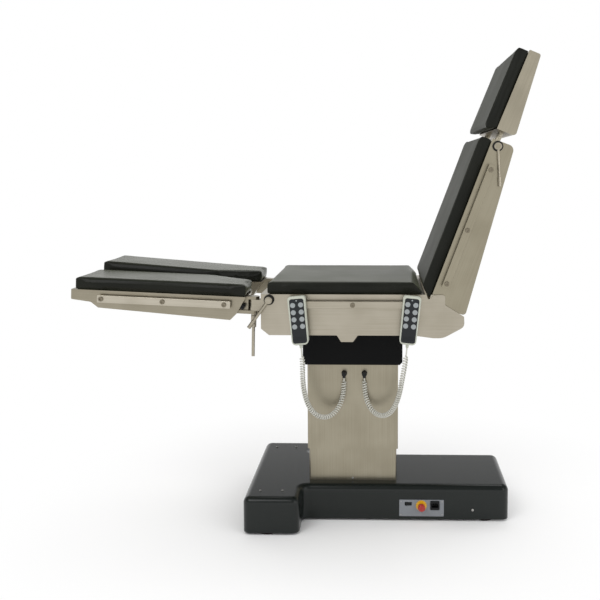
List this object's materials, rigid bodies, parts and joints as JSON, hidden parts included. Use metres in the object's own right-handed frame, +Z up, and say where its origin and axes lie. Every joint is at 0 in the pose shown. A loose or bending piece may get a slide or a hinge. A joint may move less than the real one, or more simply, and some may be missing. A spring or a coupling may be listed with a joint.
{
  "type": "operating table",
  "caption": "Electric operating table on a lifting column, with a folding back and head, a tilting seat, split legs, side rails and handsets on curly cords.",
  "frame": {"origin": "on the floor under the lifting column's axis", "axes": "+X towards the head end, +Z up, -Y towards the side with the power panel and the handsets"},
  "size_m": [1.583, 0.6175, 1.6525],
  "materials": {
    "base_shell": "satin moulded",
    "dark_steel": "matt paint",
    "foot_rubber": "matt",
    "stainless": "brushed",
    "black_plastic": "fine grain",
    "grey_plastic": "smooth",
    "panel_grey": "satin paint",
    "yellow_plastic": "gloss",
    "red_plastic": "gloss",
    "cushion_vinyl": "smooth coated fabric",
    "chrome": "polished",
    "handset_grey": "smooth moulded",
    "cord_grey": "smooth",
    "key_grey": "smooth"
  },
  "bodies": {
    "base": {"base_chassis": "dark_steel", "base_cover": "base_shell", "floor_feet": "foot_rubber", "lower_column_cover": "stainless", "power_panel": "panel_grey", "stop_collar": "yellow_plastic", "mains_inlet": "black_plastic"},
    "power_switch": {"power_switch": "black_plastic"},
    "stop_button": {"stop_button": "red_plastic"},
    "lift": {"lift_ram": "stainless", "lift_head": "dark_steel", "upper_column_cover": "stainless", "column_shroud": "black_plastic", "cord_glands": "grey_plastic", "handset_cord_front": "cord_grey", "handset_cord_rear": "cord_grey"},
    "tilt_yoke": {"tilt_yoke": "dark_steel"},
    "seat": {"seat_frame": "stainless", "seat_cushion": "cushion_vinyl", "seat_rails": "stainless", "seat_hinge_shafts": "stainless", "handset_front": "handset_grey", "handset_rear": "handset_grey"},
    "back": {"back_frame": "stainless", "back_cushion": "cushion_vinyl", "back_rails": "stainless"},
    "head": {"head_frame": "stainless", "head_cushion": "cushion_vinyl"},
    "head_lever_left": {"head_lever_left": "chrome"},
    "leg_clamp_lever_left": {"leg_clamp_lever_left": "chrome"},
    "leg_knuckle_left": {"leg_knuckle_left": "stainless"},
    "leg_spread_lever_left": {"leg_spread_lever_left": "chrome"},
    "leg_left": {"leg_frame_left": "stainless", "leg_cushion_left": "cushion_vinyl", "leg_rail_left": "stainless"},
    "leg_knob_left": {"leg_knob_left": "black_plastic"},
    "head_lever_right": {"head_lever_right": "chrome"},
    "leg_clamp_lever_right": {"leg_clamp_lever_right": "chrome"},
    "leg_knuckle_right": {"leg_knuckle_right": "stainless"},
    "leg_spread_lever_right": {"leg_spread_lever_right": "chrome"},
    "leg_right": {"leg_frame_right": "stainless", "leg_cushion_right": "cushion_vinyl", "leg_rail_right": "stainless"},
    "leg_knob_right": {"leg_knob_right": "black_plastic"},
    "handset_front_key_1": {"handset_front_key_1": "key_grey"},
    "handset_front_key_2": {"handset_front_key_2": "key_grey"},
    "handset_front_key_3": {"handset_front_key_3": "key_grey"},
    "handset_front_key_4": {"handset_front_key_4": "key_grey"},
    "handset_front_key_5": {"handset_front_key_5": "key_grey"},
    "handset_front_key_6": {"handset_front_key_6": "key_grey"},
    "handset_front_key_7": {"handset_front_key_7": "key_grey"},
    "handset_front_key_8": {"handset_front_key_8": "key_grey"},
    "handset_rear_key_1": {"handset_rear_key_1": "key_grey"},
    "handset_rear_key_2": {"handset_rear_key_2": "key_grey"},
    "handset_rear_key_3": {"handset_rear_key_3": "key_grey"},
    "handset_rear_key_4": {"handset_rear_key_4": "key_grey"},
    "handset_rear_key_5": {"handset_rear_key_5": "key_grey"},
    "handset_rear_key_6": {"handset_rear_key_6": "key_grey"},
    "handset_rear_key_7": {"handset_rear_key_7": "key_grey"},
    "handset_rear_key_8": {"handset_rear_key_8": "key_grey"}
  },
  "joints": [
    {"name": "lift_height", "type": "slide", "parent": "base", "child": "lift", "axis": [0, 0, 1], "range_m": [-0.11, 0.18]},
    {"name": "trendelenburg_tilt", "type": "hinge", "parent": "lift", "child": "tilt_yoke", "pos_m": [0, 0, 0.64], "axis": [0, 1, 0], "range_deg": [-25, 25], "deforming": ["handset_cord_front", "handset_cord_rear"]},
    {"name": "lateral_tilt", "type": "hinge", "parent": "tilt_yoke", "child": "seat", "pos_m": [0, 0, 0.64], "axis": [1, 0, 0], "range_deg": [-18, 18], "deforming": ["handset_cord_front", "handset_cord_rear"]},
    {"name": "back_raise", "type": "hinge", "parent": "seat", "child": "back", "pos_m": [0.2826, 0, 0.8166], "axis": [0, -1, 0], "range_deg": [-79.4, 10.6]},
    {"name": "head_raise", "type": "hinge", "parent": "back", "child": "head", "pos_m": [0.48828, 0, 1.32686], "axis": [0, -1, 0], "range_deg": [-45, 15]},
    {"name": "leg_pitch_left", "type": "hinge", "parent": "seat", "child": "leg_knuckle_left", "pos_m": [-0.278, -0.222, 0.81], "axis": [0, -1, 0], "range_deg": [-17.46, 82.54]},
    {"name": "leg_spread_left", "type": "hinge", "parent": "leg_knuckle_left", "child": "leg_left", "pos_m": [-0.33394, -0.222, 0.81248], "axis": [-0.0443, 0, -0.999], "range_deg": [-45, 0]},
    {"name": "leg_spread_lock_left", "type": "hinge", "parent": "leg_knuckle_left", "child": "leg_spread_lever_left", "pos_m": [-0.33394, -0.222, 0.81248], "axis": [0.0443, 0, 0.999], "range_deg": [-40, 40]},
    {"name": "leg_clamp_left", "type": "hinge", "parent": "seat", "child": "leg_clamp_lever_left", "pos_m": [-0.278, -0.272, 0.81], "axis": [0, -1, 0], "range_deg": [0, 45]},
    {"name": "leg_knob_turn_left", "type": "hinge", "parent": "leg_left", "child": "leg_knob_left", "pos_m": [-0.37048, -0.2455, 0.78334], "axis": [0.867, 0, -0.4983], "range_deg": [0, 180]},
    {"name": "head_clamp_left", "type": "hinge", "parent": "back", "child": "head_lever_left", "pos_m": [0.48828, -0.263, 1.32686], "axis": [0, -1, 0], "range_deg": [0, 60]},
    {"name": "leg_pitch_right", "type": "hinge", "parent": "seat", "child": "leg_knuckle_right", "pos_m": [-0.278, 0.222, 0.81], "axis": [0, -1, 0], "range_deg": [-15.4, 84.6]},
    {"name": "leg_spread_right", "type": "hinge", "parent": "leg_knuckle_right", "child": "leg_right", "pos_m": [-0.33382, 0.222, 0.81449], "axis": [0.0802, 0, 0.9968], "range_deg": [-45, 0]},
    {"name": "leg_spread_lock_right", "type": "hinge", "parent": "leg_knuckle_right", "child": "leg_spread_lever_right", "pos_m": [-0.33382, 0.222, 0.81449], "axis": [0.0802, 0, 0.9968], "range_deg": [-40, 40]},
    {"name": "leg_clamp_right", "type": "hinge", "parent": "seat", "child": "leg_clamp_lever_right", "pos_m": [-0.278, 0.272, 0.81], "axis": [0, -1, 0], "range_deg": [0, 45]},
    {"name": "leg_knob_turn_right", "type": "hinge", "parent": "leg_right", "child": "leg_knob_right", "pos_m": [-0.37138, 0.2455, 0.78668], "axis": [0.8485, 0, -0.5292], "range_deg": [0, 180]},
    {"name": "head_clamp_right", "type": "hinge", "parent": "back", "child": "head_lever_right", "pos_m": [0.48828, 0.263, 1.32686], "axis": [0, -1, 0], "range_deg": [0, 60]},
    {"name": "power_switch_rock", "type": "hinge", "parent": "base", "child": "power_switch", "pos_m": [0.199, -0.167, 0.0645], "axis": [0, 0, 1], "range_deg": [-20, 0]},
    {"name": "stop_button_push", "type": "slide", "parent": "base", "child": "stop_button", "axis": [0, 1, 0], "range_m": [0, 0.005]},
    {"name": "handset_front_key_1_press", "type": "slide", "parent": "seat", "child": "handset_front_key_1", "axis": [0, 1, 0], "range_m": [0, 0.001], "stiffness_N_per_m": 700, "springref_m": -0.001},
    {"name": "handset_front_key_2_press", "type": "slide", "parent": "seat", "child": "handset_front_key_2", "axis": [0, 1, 0], "range_m": [0, 0.001], "stiffness_N_per_m": 700, "springref_m": -0.001},
    {"name": "handset_front_key_3_press", "type": "slide", "parent": "seat", "child": "handset_front_key_3", "axis": [0, 1, 0], "range_m": [0, 0.001], "stiffness_N_per_m": 700, "springref_m": -0.001},
    {"name": "handset_front_key_4_press", "type": "slide", "parent": "seat", "child": "handset_front_key_4", "axis": [0, 1, 0], "range_m": [0, 0.001], "stiffness_N_per_m": 700, "springref_m": -0.001},
    {"name": "handset_front_key_5_press", "type": "slide", "parent": "seat", "child": "handset_front_key_5", "axis": [0, 1, 0], "range_m": [0, 0.001], "stiffness_N_per_m": 700, "springref_m": -0.001},
    {"name": "handset_front_key_6_press", "type": "slide", "parent": "seat", "child": "handset_front_key_6", "axis": [0, 1, 0], "range_m": [0, 0.001], "stiffness_N_per_m": 700, "springref_m": -0.001},
    {"name": "handset_front_key_7_press", "type": "slide", "parent": "seat", "child": "handset_front_key_7", "axis": [0, 1, 0], "range_m": [0, 0.001], "stiffness_N_per_m": 700, "springref_m": -0.001},
    {"name": "handset_front_key_8_press", "type": "slide", "parent": "seat", "child": "handset_front_key_8", "axis": [0, 1, 0], "range_m": [0, 0.001], "stiffness_N_per_m": 700, "springref_m": -0.001},
    {"name": "handset_rear_key_1_press", "type": "slide", "parent": "seat", "child": "handset_rear_key_1", "axis": [0, 1, 0], "range_m": [0, 0.001], "stiffness_N_per_m": 700, "springref_m": -0.001},
    {"name": "handset_rear_key_2_press", "type": "slide", "parent": "seat", "child": "handset_rear_key_2", "axis": [0, 1, 0], "range_m": [0, 0.001], "stiffness_N_per_m": 700, "springref_m": -0.001},
    {"name": "handset_rear_key_3_press", "type": "slide", "parent": "seat", "child": "handset_rear_key_3", "axis": [0, 1, 0], "range_m": [0, 0.001], "stiffness_N_per_m": 700, "springref_m": -0.001},
    {"name": "handset_rear_key_4_press", "type": "slide", "parent": "seat", "child": "handset_rear_key_4", "axis": [0, 1, 0], "range_m": [0, 0.001], "stiffness_N_per_m": 700, "springref_m": -0.001},
    {"name": "handset_rear_key_5_press", "type": "slide", "parent": "seat", "child": "handset_rear_key_5", "axis": [0, 1, 0], "range_m": [0, 0.001], "stiffness_N_per_m": 700, "springref_m": -0.001},
    {"name": "handset_rear_key_6_press", "type": "slide", "parent": "seat", "child": "handset_rear_key_6", "axis": [0, 1, 0], "range_m": [0, 0.001], "stiffness_N_per_m": 700, "springref_m": -0.001},
    {"name": "handset_rear_key_7_press", "type": "slide", "parent": "seat", "child": "handset_rear_key_7", "axis": [0, 1, 0], "range_m": [0, 0.001], "stiffness_N_per_m": 700, "springref_m": -0.001},
    {"name": "handset_rear_key_8_press", "type": "slide", "parent": "seat", "child": "handset_rear_key_8", "axis": [0, 1, 0], "range_m": [0, 0.001], "stiffness_N_per_m": 700, "springref_m": -0.001}
  ]
}
